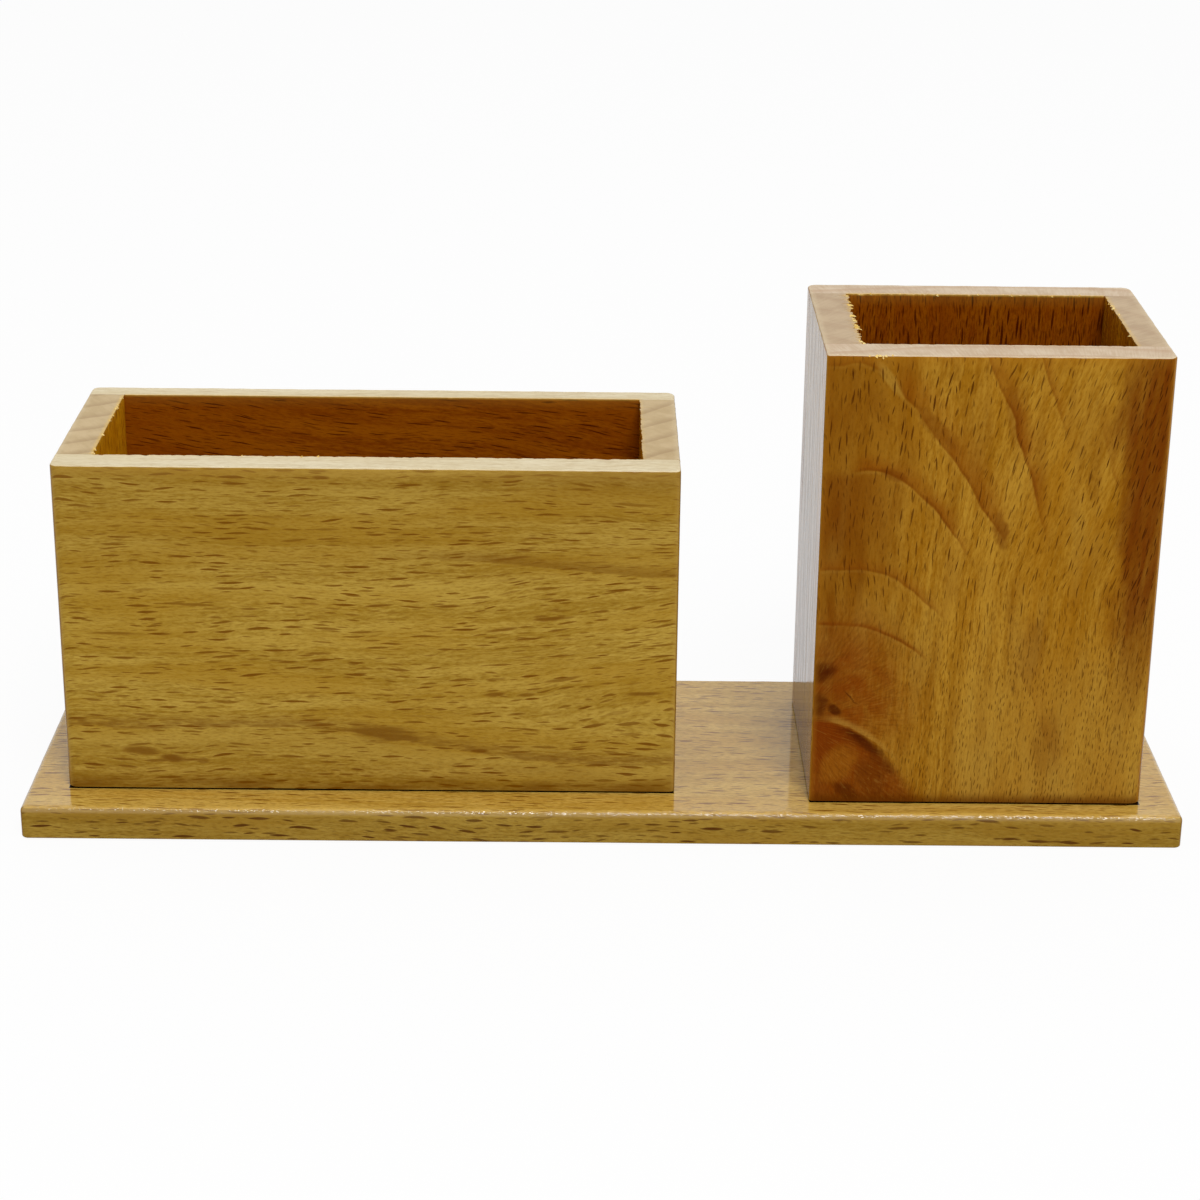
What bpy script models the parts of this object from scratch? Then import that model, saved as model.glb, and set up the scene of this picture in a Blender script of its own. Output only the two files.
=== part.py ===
"""Pen stand in lacquered beech: a base board that carries a long, low tray and a tall cup.

Each compartment is a ring of four butt-jointed boards. The front and back boards run the full length, and
two end blocks stand between them with their grain upright. The base board is the floor of both compartments.
Countersunk wood screws come up through the base into the end blocks, two to a block.

Metres, +Z up, +X along the base from the tray to the cup, +Y from the front to the back. The origin is the
middle of the base's underside.
"""

from collections import namedtuple

import bmesh
import bpy
from mathutils import Vector

MM = 0.001

# Tray
TRAY_LENGTH = 134 * MM
TRAY_DEPTH = 58 * MM
TRAY_HEIGHT = 75 * MM
TRAY_FRONT_THICKNESS = 8 * MM
TRAY_BACK_THICKNESS = 6 * MM
TRAY_END_THICKNESS = 8 * MM

# Cup
CUP_LENGTH = 73 * MM
CUP_DEPTH = 58 * MM
CUP_HEIGHT = 102 * MM
CUP_FRONT_THICKNESS = 9 * MM
CUP_BACK_THICKNESS = 8 * MM
CUP_LEFT_THICKNESS = 8 * MM
CUP_RIGHT_THICKNESS = 7 * MM

# Base board, with the ledges that it leaves round the tray and the cup
BASE_THICKNESS = 7.5 * MM
TRAY_LEFT_LEDGE = 9 * MM
TRAY_FRONT_LEDGE = 10 * MM
TRAY_BACK_LEDGE = 8 * MM
CUP_RIGHT_LEDGE = 8.5 * MM
CUP_FRONT_LEDGE = 6 * MM
CUP_BACK_LEDGE = 12 * MM
TRAY_TO_CUP = 29.5 * MM

# Rounded edges
BASE_TOP_ROUND = 1.5 * MM
BASE_CORNER_ROUND = 1.6 * MM
BASE_BOTTOM_ROUND = 0.4 * MM
BOX_CORNER_ROUND = 1.8 * MM
BOARD_ARRIS = 0.5 * MM

# Wood screws, and how far they stand from the ends of a block
SCREW_LENGTH = 25 * MM
SCREW_DIAMETER = 3 * MM
SCREW_POINT_LENGTH = 4 * MM
SCREW_HEAD_DIAMETER = 6 * MM
SCREW_HEAD_RIM = 0.4 * MM
SCREW_HEAD_TAPER = 1.5 * MM
SCREW_SINK = 0.5 * MM
SCREW_INSET = 10 * MM
RECESS_SPAN = 3.2 * MM
RECESS_WIDTH = 0.8 * MM
RECESS_DEPTH = 1.2 * MM

# Clearances
GLUE_LINE = 0.3 * MM
SCREW_CLEARANCE = 0.3 * MM
CUT_OVERRUN = 2 * MM

TURNED_STEPS = 24
ROUND_SEGMENTS = 3
MERGE_DISTANCE = 0.00001

BASE_LENGTH = TRAY_LEFT_LEDGE + TRAY_LENGTH + TRAY_TO_CUP + CUP_LENGTH + CUP_RIGHT_LEDGE
BASE_DEPTH = max(
    TRAY_FRONT_LEDGE + TRAY_DEPTH + TRAY_BACK_LEDGE,
    CUP_FRONT_LEDGE + CUP_DEPTH + CUP_BACK_LEDGE,
)
SEAT = BASE_THICKNESS + GLUE_LINE

LEFT, RIGHT = (-1, 0, 0), (1, 0, 0)
FRONT, BACK = (0, -1, 0), (0, 1, 0)
BOTTOM, TOP = (0, 0, -1), (0, 0, 1)

# A ring of four boards: the place of its left front corner on the base, its outer sizes and its walls
Compartment = namedtuple(
    "Compartment", "name left front length depth height front_wall back_wall left_wall right_wall"
)
TRAY = Compartment(
    name="tray",
    left=-BASE_LENGTH / 2 + TRAY_LEFT_LEDGE,
    front=-BASE_DEPTH / 2 + TRAY_FRONT_LEDGE,
    length=TRAY_LENGTH,
    depth=TRAY_DEPTH,
    height=TRAY_HEIGHT - GLUE_LINE,
    front_wall=TRAY_FRONT_THICKNESS,
    back_wall=TRAY_BACK_THICKNESS,
    left_wall=TRAY_END_THICKNESS,
    right_wall=TRAY_END_THICKNESS,
)
CUP = Compartment(
    name="cup",
    left=BASE_LENGTH / 2 - CUP_RIGHT_LEDGE - CUP_LENGTH,
    front=-BASE_DEPTH / 2 + CUP_FRONT_LEDGE,
    length=CUP_LENGTH,
    depth=CUP_DEPTH,
    height=CUP_HEIGHT - GLUE_LINE,
    front_wall=CUP_FRONT_THICKNESS,
    back_wall=CUP_BACK_THICKNESS,
    left_wall=CUP_LEFT_THICKNESS,
    right_wall=CUP_RIGHT_THICKNESS,
)


def clear_scene():
    for obj in list(bpy.data.objects):
        bpy.data.objects.remove(obj, do_unlink=True)


def new_collection(name):
    collection = bpy.data.collections.new(name)
    bpy.context.scene.collection.children.link(collection)
    return collection


def new_material(name, colour, roughness, metallic=0.0):
    material = bpy.data.materials.new(name)
    material.use_nodes = True
    shader = material.node_tree.nodes["Principled BSDF"]
    shader.inputs["Base Color"].default_value = (*colour, 1.0)
    shader.inputs["Roughness"].default_value = roughness
    shader.inputs["Metallic"].default_value = metallic
    return material


def new_object(name, data, collection, parent=None, location=(0, 0, 0)):
    obj = bpy.data.objects.new(name, data)
    collection.objects.link(obj)
    obj.parent = parent
    obj.location = location
    return obj


def block(name, low, high, rounding, collection, parent=None):
    """A box between two corners. rounding holds (faces, radius): an edge whose two faces are both among those
    faces is rounded by that radius."""
    low, high = Vector(low), Vector(high)
    bm = bmesh.new()
    bmesh.ops.create_cube(bm, size=1)
    bmesh.ops.scale(bm, vec=high - low, verts=bm.verts)
    widest = max((radius for _, radius in rounding), default=0)
    weight = bm.edges.layers.float.new("bevel_weight_edge")
    for edge in bm.edges:
        sides = {tuple(round(c) for c in face.normal) for face in edge.link_faces}
        for faces, radius in rounding:
            if sides <= set(faces):
                edge[weight] = radius / widest
    mesh = bpy.data.meshes.new(name)
    bm.to_mesh(mesh)
    bm.free()
    obj = new_object(name, mesh, collection, parent, (low + high) / 2)
    if widest:
        round_edges(obj, widest)
    return obj


def round_edges(obj, width):
    bevel = obj.modifiers.new("rounded edges", "BEVEL")
    bevel.limit_method = "WEIGHT"
    bevel.width = width
    bevel.segments = ROUND_SEGMENTS
    obj.data.shade_smooth()
    obj.data.set_sharp_from_angle(angle=0.6)


def turned(name, outline, collection):
    """A solid of revolution about Z. The outline runs down its outer side, from the axis to the axis."""
    bm = bmesh.new()
    points = [bm.verts.new((radius, 0, height)) for radius, height in outline]
    for upper, lower in zip(points, points[1:]):
        bm.edges.new((upper, lower))
    mesh = bpy.data.meshes.new(name)
    bm.to_mesh(mesh)
    bm.free()
    obj = new_object(name, mesh, collection)
    screw = obj.modifiers.new("turned", "SCREW")
    screw.steps = screw.render_steps = TURNED_STEPS
    screw.use_merge_vertices = True
    screw.merge_threshold = MERGE_DISTANCE
    return obj


def hide_cutter(obj):
    obj.hide_render = True
    obj.display_type = "WIRE"


def cut(obj, cutter):
    boolean = obj.modifiers.new(f"cut by {cutter.name}", "BOOLEAN")
    boolean.operation = "DIFFERENCE"
    boolean.object = cutter


def screw_outline(clearance, face_height):
    """The half outline of an upright screw, point first, with a clearance on its sides and point."""
    thread = SCREW_DIAMETER / 2 + clearance
    head = SCREW_HEAD_DIAMETER / 2 + clearance
    tip = SCREW_SINK + SCREW_LENGTH + clearance
    rim = SCREW_SINK + SCREW_HEAD_RIM + clearance
    return [
        (0, tip),
        (thread, tip - SCREW_POINT_LENGTH),
        (thread, rim + SCREW_HEAD_TAPER),
        (head, rim),
        (head, face_height),
        (0, face_height),
    ]


def build_screw_mesh(cutters):
    """One countersunk screw with a cross recess, as a mesh that all the screws share."""
    blank = turned("screw_blank", screw_outline(0, SCREW_SINK), cutters)
    bottom, top = SCREW_SINK - CUT_OVERRUN, SCREW_SINK + RECESS_DEPTH
    long, short = RECESS_SPAN / 2, RECESS_WIDTH / 2
    for name, x, y in (("recess_across", long, short), ("recess_along", short, long)):
        slot = block(name, (-x, -y, bottom), (x, y, top), (), cutters)
        hide_cutter(slot)
        cut(blank, slot)
    hide_cutter(blank)
    bpy.context.view_layer.update()
    graph = bpy.context.evaluated_depsgraph_get()
    mesh = bpy.data.meshes.new_from_object(blank.evaluated_get(graph))
    mesh.name = "wood_screw"
    mesh.shade_smooth()
    mesh.set_sharp_from_angle(angle=0.6)
    return mesh


def build_base(parts):
    half = Vector((BASE_LENGTH / 2, BASE_DEPTH / 2, 0))
    sides = (LEFT, RIGHT, FRONT, BACK)
    rounding = (
        (sides, BASE_CORNER_ROUND),
        *(((side, TOP), BASE_TOP_ROUND) for side in sides),
        *(((side, BOTTOM), BASE_BOTTOM_ROUND) for side in sides),
    )
    return block("base_board", -half, half + Vector((0, 0, BASE_THICKNESS)), rounding, parts)


def build_boards(ring, parts, parent):
    """The four boards of a compartment, in the parent's frame: X from its left face, Y from its front face
    and Z from its foot."""
    inner_front = ring.front_wall + GLUE_LINE
    inner_back = ring.depth - ring.back_wall - GLUE_LINE
    right_face = ring.length - ring.right_wall
    shapes = (
        ("front_board", (0, 0), (ring.length, ring.front_wall), (LEFT, RIGHT, FRONT, TOP)),
        ("back_board", (0, ring.depth - ring.back_wall), (ring.length, ring.depth), (LEFT, RIGHT, BACK, TOP)),
        ("left_end", (0, inner_front), (ring.left_wall, inner_back), (LEFT, TOP)),
        ("right_end", (right_face, inner_front), (ring.length, inner_back), (RIGHT, TOP)),
    )
    boards = {}
    for piece, low, high, outer in shapes:
        upright = [side for side in outer if side != TOP]
        rounding = ((outer, BOARD_ARRIS), (upright, BOX_CORNER_ROUND))
        low, high = (*low, 0), (*high, ring.height)
        boards[piece] = block(f"{ring.name}_{piece}", low, high, rounding, parts, parent)
    return boards


def screw_places(ring):
    """For each end block, the two places on the base where its screws come up."""
    first = ring.front + ring.front_wall + GLUE_LINE + SCREW_INSET
    last = ring.front + ring.depth - ring.back_wall - GLUE_LINE - SCREW_INSET
    left = ring.left + ring.left_wall / 2
    right = ring.left + ring.length - ring.right_wall / 2
    for end, x in (("left_end", left), ("right_end", right)):
        for side, y in (("front", first), ("back", last)):
            yield end, side, Vector((x, y, 0))


def build_compartment(ring, base, screw_mesh, hole_mesh, parts, cutters):
    """A ring of boards on the base, with its screws and the holes that they come up through."""
    origin = new_object(ring.name, None, parts, location=(ring.left, ring.front, SEAT))
    boards = build_boards(ring, parts, origin)
    screws = []
    for end, side, place in screw_places(ring):
        name = f"{ring.name}_{end}_{side}_screw"
        hole = new_object(f"{name}_hole", hole_mesh, cutters, location=place)
        hide_cutter(hole)
        cut(base, hole)
        cut(boards[end], hole)
        screws.append(new_object(name, screw_mesh, parts, location=place))
    return boards, screws


def build_hole_mesh(cutters):
    """The room that a screw takes out of the base and an end block, out past the base's underside."""
    shape = turned("screw_room", screw_outline(SCREW_CLEARANCE, -CUT_OVERRUN), cutters)
    hide_cutter(shape)
    bpy.context.view_layer.update()
    graph = bpy.context.evaluated_depsgraph_get()
    return bpy.data.meshes.new_from_object(shape.evaluated_get(graph))


def paint(objects, material):
    for obj in objects:
        obj.data.materials.clear()
        obj.data.materials.append(material)


def main():
    clear_scene()
    parts = new_collection("pen_stand")
    cutters = new_collection("pen_stand_cutters")

    base_wood = new_material("base_beech", (0.36, 0.22, 0.035), 0.28)
    tray_wood = new_material("tray_beech", (0.37, 0.22, 0.030), 0.35)
    cup_wood = new_material("cup_beech", (0.33, 0.16, 0.018), 0.33)
    end_wood = new_material("upright_beech", (0.35, 0.19, 0.028), 0.40)
    steel = new_material("zinc_plated_steel", (0.62, 0.62, 0.60), 0.30, metallic=1.0)

    base = build_base(parts)
    screw_mesh = build_screw_mesh(cutters)
    hole_mesh = build_hole_mesh(cutters)
    paint([base], base_wood)
    for ring, wood in ((TRAY, tray_wood), (CUP, cup_wood)):
        boards, screws = build_compartment(ring, base, screw_mesh, hole_mesh, parts, cutters)
        paint([boards["front_board"], boards["back_board"]], wood)
        paint([boards["left_end"], boards["right_end"]], end_wood)
        paint(screws, steel)


main()
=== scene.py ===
"""Looks for the pen stand: beech boards under a clear gloss lacquer, on a white studio floor.

Each board of the CAD model is replaced by a finer one in the same place. Its outer edges are rounded and a
little worn, its sawn inner edges are ragged, and each side shows the grain that such a side of real beech
shows. The boards are built in metres. Lengths inside the materials are in millimetres.
"""

import math
import random
from collections import namedtuple

import bmesh
import bpy
import numpy as np
from mathutils import Matrix, Vector, noise


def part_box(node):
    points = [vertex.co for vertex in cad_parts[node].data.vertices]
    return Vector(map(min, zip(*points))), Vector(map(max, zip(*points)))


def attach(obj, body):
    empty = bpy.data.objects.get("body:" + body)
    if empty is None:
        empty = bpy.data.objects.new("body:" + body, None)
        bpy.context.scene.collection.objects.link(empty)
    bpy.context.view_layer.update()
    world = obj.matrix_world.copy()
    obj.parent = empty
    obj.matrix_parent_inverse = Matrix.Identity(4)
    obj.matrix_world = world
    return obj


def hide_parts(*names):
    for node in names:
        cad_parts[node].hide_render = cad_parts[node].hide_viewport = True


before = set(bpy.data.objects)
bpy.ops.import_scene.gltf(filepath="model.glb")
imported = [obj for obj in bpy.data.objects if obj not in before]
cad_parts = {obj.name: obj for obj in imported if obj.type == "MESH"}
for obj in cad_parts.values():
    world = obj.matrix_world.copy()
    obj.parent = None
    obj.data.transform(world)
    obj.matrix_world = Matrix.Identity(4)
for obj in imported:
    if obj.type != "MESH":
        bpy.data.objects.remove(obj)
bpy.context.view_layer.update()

MM = 0.001

# Sides of a board, as an axis and an end of it
LEFT, RIGHT, FRONT, BACK, BOTTOM, TOP = (0, 0), (0, 1), (1, 0), (1, 1), (2, 0), (2, 1)
SIDES = (LEFT, RIGHT, FRONT, BACK, BOTTOM, TOP)
X, Y, Z = 0, 1, 2


# Shader graphs

def math_node(operation, swapped=False):
    """A method of Num that adds a Math node to its graph."""
    def method(self, other=0.0):
        pair = (other, self) if swapped else (self, other)
        return self.graph.math(operation, *pair)
    return method


class Num:
    """A number in a shader. Python's operators on it add Math nodes to its graph."""

    __add__, __radd__ = math_node("ADD"), math_node("ADD", swapped=True)
    __sub__, __rsub__ = math_node("SUBTRACT"), math_node("SUBTRACT", swapped=True)
    __mul__, __truediv__ = math_node("MULTIPLY"), math_node("DIVIDE")
    __abs__, root, floor = math_node("ABSOLUTE"), math_node("SQRT"), math_node("FLOOR")
    at_most, at_least = math_node("MINIMUM"), math_node("MAXIMUM")

    def __init__(self, graph, socket):
        self.graph = graph
        self.socket = socket

    def rise(self, start, end):
        """0 up to start, 1 from end on, and a smooth step between them. end may be below start."""
        inputs = {"Value": self, "From Min": start, "From Max": end}
        node = self.graph.node("MapRange", inputs, interpolation_type="SMOOTHSTEP")
        return Num(self.graph, node.outputs["Result"])


class Graph:
    """The node tree of a material or of the world, with short names for the nodes used here."""

    def __init__(self, owner):
        self.owner = owner
        owner.use_nodes = True
        self.tree = owner.node_tree
        self.tree.nodes.clear()

    def node(self, kind, inputs=None, **settings):
        node = self.tree.nodes.new("ShaderNode" + kind)
        for key, value in settings.items():
            setattr(node, key, value)
        for key, value in (inputs or {}).items():
            self.feed(node.inputs[key], value)
        return node

    def feed(self, socket, value):
        """Links or sets an input. Three numbers are a colour as a screen shows it, four are plain light."""
        value = value.socket if isinstance(value, Num) else value
        if isinstance(value, bpy.types.NodeSocket):
            self.tree.links.new(value, socket)
        elif isinstance(value, tuple) and len(value) == 3:
            socket.default_value = (*shade(*value), 1.0)
        else:
            socket.default_value = value

    def math(self, operation, a, b=0.0):
        node = self.node("Math", {0: a, 1: b}, operation=operation)
        return Num(self, node.outputs[0])

    def join(self, x, y, z):
        return self.node("CombineXYZ", {"X": x, "Y": y, "Z": z}).outputs["Vector"]

    def split(self, vector):
        node = self.node("SeparateXYZ", {"Vector": vector})
        return [Num(self, node.outputs[axis]) for axis in "XYZ"]

    def place(self):
        """The point's place in the row frame, in millimetres."""
        metres = self.node("TexCoord").outputs["Object"]
        node = self.node("VectorMath", {0: metres, "Scale": 1 / MM}, operation="SCALE")
        return self.split(node.outputs["Vector"])

    def noise(self, x, y, z, detail=2.0, roughness=0.5):
        """Soft noise from 0 to 1, its patches about one unit wide."""
        inputs = {"Vector": self.join(x, y, z), "Scale": 1.0, "Detail": detail, "Roughness": roughness}
        return Num(self, self.node("TexNoise", inputs).outputs["Fac"])

    def chances(self, x, y):
        """Three numbers from 0 to 1, by chance, for each pair of whole numbers."""
        spots = self.node("TexWhiteNoise", {"Vector": self.join(x, y, 0.0)}, noise_dimensions="2D")
        node = self.node("SeparateColor", {0: spots.outputs["Color"]})
        return [Num(self, node.outputs[channel]) for channel in ("Red", "Green", "Blue")]

    def dashes(self, along, across, rays):
        """Short dashes in loose rows, 1 in their middles. They differ in length, thickness and strength."""
        rows = across / rays.width
        row = rows.floor()
        slide = self.chances(row, rays.width)[0]
        cells = along / rays.length + slide * 9.0
        cell = cells.floor()
        chance, size, lift = self.chances(row, cell)
        reach = (cells - cell - 0.5) / (size * 0.26 + 0.21)
        tilt = (lift - 0.5) * (0.4 + reach * 0.22)
        off = abs(rows - row - 0.5 - tilt) / ((size * 0.13 + 0.17) * rays.thickness)
        body = 1.0 - reach * reach - off
        return body.rise(0.0, 0.3) * chance.rise(1.0 - rays.share, 1.2 - rays.share)

    def mix(self, factor, a, b):
        node = self.node("Mix", {0: factor, 6: a, 7: b}, data_type="RGBA", clamp_factor=True)
        return node.outputs[2]

    def attribute(self, name):
        return Num(self, self.node("Attribute", attribute_name=name).outputs["Fac"])

    def bump(self, height, depth):
        """A normal from a height of 0 to 1, with its depth in millimetres."""
        inputs = {"Height": height, "Distance": depth * MM, "Strength": 1.0}
        return self.node("Bump", inputs).outputs["Normal"]

    def finish(self, shader, output="OutputMaterial"):
        out = self.node(output)
        self.tree.links.new(shader.outputs[0], out.inputs["Surface"])
        return self.owner

    def lacquered(self, colour, roughness, relief, coat, flow_out=None):
        """Wood under a clear coat. The relief moves the wood below the coat, and flow_out the coat itself."""
        inputs = {
            "Base Color": colour,
            "Roughness": roughness,
            "Specular IOR Level": 0.0,
            "Coat Weight": coat.weight,
            "Coat Roughness": coat.roughness,
            "Coat IOR": coat.ior,
            "Normal": relief,
        }
        if flow_out:
            inputs["Coat Normal"] = flow_out
        return self.finish(self.node("BsdfPrincipled", inputs))


def shade(*screen):
    """A colour as a screen shows it, from 0 to 255, turned into the light that it stands for."""
    values = (value / 255 for value in screen)
    return [value / 12.92 if value <= 0.04045 else ((value + 0.055) / 1.055) ** 2.4 for value in values]


# Beech

Rays = namedtuple("Rays", "length width share thickness", defaults=(1.0,))
Coat = namedtuple("Coat", "weight ior roughness")
BOARD_COAT = Coat(1.0, 1.12, 0.12)
Look = namedtuple(
    "Look",
    "seed light dark warm fleck worn bold fine pores wander slope coat sparkle raised",
    defaults=(Rays(7.5, 1.3, 0.6), Rays(4.2, 0.85, 0.55), 0.25, 5.0, 0.0, BOARD_COAT, 0.0, 0.0),
)

LIP_GOLD = (228, 186, 84)
# Dark glue joints with painted shade: the boards' undersides and bands on the base under the walls are this
# dark, so the gap under the boxes looks shaded
JOINT_AND_SHADE_DARK = (26, 13, 4)
EDGE_WEAR, LIP_GLOW = 0.4, 0.7
GRAIN_RELIEF, END_RELIEF = 0.02, 0.015

# How long the patches of each kind of grain are along the fibres, and how wide across them
Grain = namedtuple("Grain", "length width")
BEND, RIPPLE = Grain(45, 20), Grain(7, 4)
CLOUD, BAND, STREAK, PORE = Grain(34, 6), Grain(150, 2.4), Grain(4.5, 0.55), Grain(1.4, 0.42)
WARMTH, CROWD, SWELL = Grain(60, 9), Grain(18, 7), Grain(25, 4)
BEAD_LENGTH, BEAD_WIDTH = 0.8, 0.45


def worn_edges(g, colour, worn):
    """Paler wood along the worn edges, and gold along the sawn lips."""
    colour = g.mix(g.attribute("edge") * EDGE_WEAR, colour, worn)
    return g.mix(g.attribute("lip") * LIP_GLOW, colour, LIP_GOLD)


def gloss(g, place, along, across, look):
    """The coat of a side along the grain, and its relief: swollen grain, or beads on rounded edges."""
    coat, seed = look.coat, look.seed
    if look.sparkle:
        edge = g.attribute("edge")
        beads = g.noise(place[X] / BEAD_LENGTH, place[Y] / BEAD_WIDTH, place[Z] / BEAD_WIDTH, detail=1.0)
        if coat.weight < 1.0:
            coat = coat._replace(weight=edge.rise(0.3, 0.7) * (1.0 - coat.weight) + coat.weight)
        return coat, g.bump(beads * edge, look.sparkle)
    if look.raised:
        swell = g.noise(along / SWELL.length + seed, across / SWELL.width, seed + 2.0, detail=3.0)
        return coat, g.bump(swell, look.raised)
    return coat, None


def long_grain(name, axes, look, flow=None, figure=None):
    """Beech on a side that runs along the grain. axes are along the grain, across it and into the board."""
    g = Graph(bpy.data.materials.new(name))
    place = g.place()
    along = place[axes[0]]
    across = place[axes[1]] + place[axes[2]] + along * look.slope
    seed = look.seed
    if flow:
        across = across + flow(place)
    bend = g.noise(along / BEND.length + seed, across / BEND.width, seed) - 0.5
    ripple = g.noise(along / RIPPLE.length + seed, across / RIPPLE.width, seed) - 0.5
    across = across + bend * look.wander + ripple * 0.7

    cloud = g.noise(along / CLOUD.length + seed, across / CLOUD.width, seed, detail=3.0)
    band = g.noise(along / BAND.length, across / BAND.width + seed, seed, detail=2.0)
    streak = g.noise(along / STREAK.length + seed, across / STREAK.width, seed, detail=3.0, roughness=0.6)
    pore = g.noise(along / PORE.length, across / PORE.width + seed, seed, detail=2.0, roughness=0.6)
    tone = cloud * 0.24 + band * 0.28 + streak * 0.32 + pore * 0.16
    colour = g.mix(tone.rise(0.40, 0.60), look.dark, look.light)
    warmth = g.noise(along / WARMTH.length, across / WARMTH.width + seed, seed + 4.0)
    colour = g.mix(warmth.rise(0.42, 0.66) * 0.6, colour, look.warm)

    bold = g.dashes(along + seed * 9, across, look.bold)
    fine = g.dashes(along, across + seed * 5, look.fine)
    tiny = Rays(look.fine.length * 0.55, look.fine.width * 0.55, 0.65, look.fine.thickness)
    faint = g.dashes(along + seed * 3, across + 0.3, tiny)
    crowd = g.noise(along / CROWD.length + seed, across / CROWD.width, seed + 8.0)
    flecks = bold.at_least(fine * 0.8) * (crowd.rise(0.3, 0.6) * 0.3 + 0.7)
    flecks = flecks.at_least(faint * 0.35)
    if figure:
        colour, flecks = figure(g, place, colour, flecks)
    colour = g.mix(pore.rise(0.52, 0.34) * look.pores, colour, look.fleck)
    colour = g.mix(flecks * (streak * 0.4 + 0.75), colour, look.fleck)
    colour = worn_edges(g, colour, look.worn)
    relief = g.bump(streak * 0.5 + pore * 0.3 - flecks * 0.6, GRAIN_RELIEF)
    return g.lacquered(colour, 0.45 + pore * 0.2, relief, *gloss(g, place, along, across, look))


EndLook = namedtuple(
    "EndLook", "seed light dark ring worn pith period strength coat", defaults=(0.5, Coat(0.6, 1.3, 0.25))
)
WARP_WIDTH, END_PORE_WIDTH, END_CLOUD_WIDTH = 14, 0.22, 7
RAY_LENGTH, RAYS_PER_RADIAN = 5, 300


def end_grain(name, axes, look):
    """Beech on a side across the grain: growth rings about a far pith, fine rays and pores."""
    g = Graph(bpy.data.materials.new(name))
    place = g.place()
    a, b = (place[axis] for axis in axes)
    seed = look.seed
    da, db = a - look.pith[0], b - look.pith[1]
    warp = g.noise(a / WARP_WIDTH + seed, b / WARP_WIDTH, seed) - 0.5
    reach = (da * da + db * db).root() + warp * 2.5
    turn = g.math("ARCTAN2", db, da)
    phase = g.math("FRACT", reach / look.period)
    ring = phase.rise(0.55, 0.94) * phase.rise(1.0, 0.96)
    ray = g.noise(reach / RAY_LENGTH, turn * RAYS_PER_RADIAN, seed, detail=2.0)
    pore = g.noise(a / END_PORE_WIDTH, b / END_PORE_WIDTH, seed, detail=2.0)
    cloud = g.noise(a / END_CLOUD_WIDTH, b / END_CLOUD_WIDTH + seed, seed, detail=3.0)
    tone = cloud * 0.5 + ray * 0.3 + pore * 0.2
    colour = g.mix(tone.rise(0.36, 0.64), look.dark, look.light)
    colour = g.mix(ring * look.strength, colour, look.ring)
    colour = worn_edges(g, colour, look.worn)
    return g.lacquered(colour, 0.5 + pore * 0.2, g.bump(pore * 0.6 + ray * 0.4, END_RELIEF), look.coat)


def lens(x, z, middle_x, middle_z, half_length, half_width, slope):
    """1 in the middle of one long fleck, 0 round it."""
    dx = x - middle_x
    dz = (z - middle_z - dx * slope) / half_width
    dx = dx / half_length
    return (dx * dx + dz * dz).rise(1.0, 0.15)


# Single flecks that stand out on the tray's front: middle, half length, half width, slope and strength
TRAY_FLECKS = (
    (-101.5, 16.8, 5.0, 1.3, -0.08, 0.8),
    (-94.5, 15.0, 3.4, 1.1, -0.10, 0.9),
    (-88.0, 14.6, 1.8, 0.8, 0.00, 0.6),
    (-81.2, 55.1, 3.9, 0.4, -0.02, 0.8),
    (-88.4, 51.3, 5.6, 0.4, -0.03, 0.7),
    (-106.0, 44.5, 6.4, 0.4, -0.02, 0.7),
    (-62.0, 40.2, 3.4, 0.4, 0.02, 0.7),
    (-60.4, 80.4, 2.4, 0.5, -0.05, 1.0),
    (-11.6, 48.8, 4.6, 0.55, 0.08, 0.9),
    (-22.0, 46.1, 4.3, 0.55, 0.15, 0.8),
    (-9.0, 34.6, 5.2, 0.6, 0.20, 0.7),
    (-23.6, 31.0, 2.9, 0.6, 0.10, 0.8),
    (-16.8, 30.9, 2.3, 0.6, 0.06, 0.7),
    (8.9, 31.4, 5.0, 0.6, 0.03, 0.8),
    (-19.9, 62.6, 5.6, 0.4, 0.12, 0.8),
    (-27.2, 17.4, 2.6, 0.6, 0.04, 0.9),
    (6.0, 75.0, 6.0, 0.5, -0.05, 0.6),
)
STREAK_BROWN = (112, 70, 8)
STREAK_PALE = (172, 140, 58)
# How far the band of painted shade reaches in under the boxes' walls, in millimetres
JOINT_SHADE_WIDTH = 6.0


def base_joints_and_painted_shade(g, place, colour, flecks):
    """The dark glue joints where the boxes stand on the base, with painted shade. Their bands lie under the
    boxes' walls.
    """
    x, y, z = place
    for ring in ("tray", "cup"):
        low = [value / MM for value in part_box(f"{ring}_front_board")[0]]
        high = [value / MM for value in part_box(f"{ring}_back_board")[1]]
        inside = (x - low[0]).at_most(high[0] - x).at_most(y - low[1]).at_most(high[1] - y)
        band = inside.rise(0.0, 0.2) * inside.rise(JOINT_SHADE_WIDTH, JOINT_SHADE_WIDTH - 0.4)
        colour = g.mix(band, colour, JOINT_AND_SHADE_DARK)
    return colour, flecks


def tray_front_flow(place):
    """On the right of the tray's front the grain climbs towards the edge, at half height most of all."""
    x, y, z = place
    right = (x + 60.0).at_least(0.0)
    return right * right * -0.0011 * z.rise(18.0, 36.0) * z.rise(74.0, 54.0)


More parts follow.
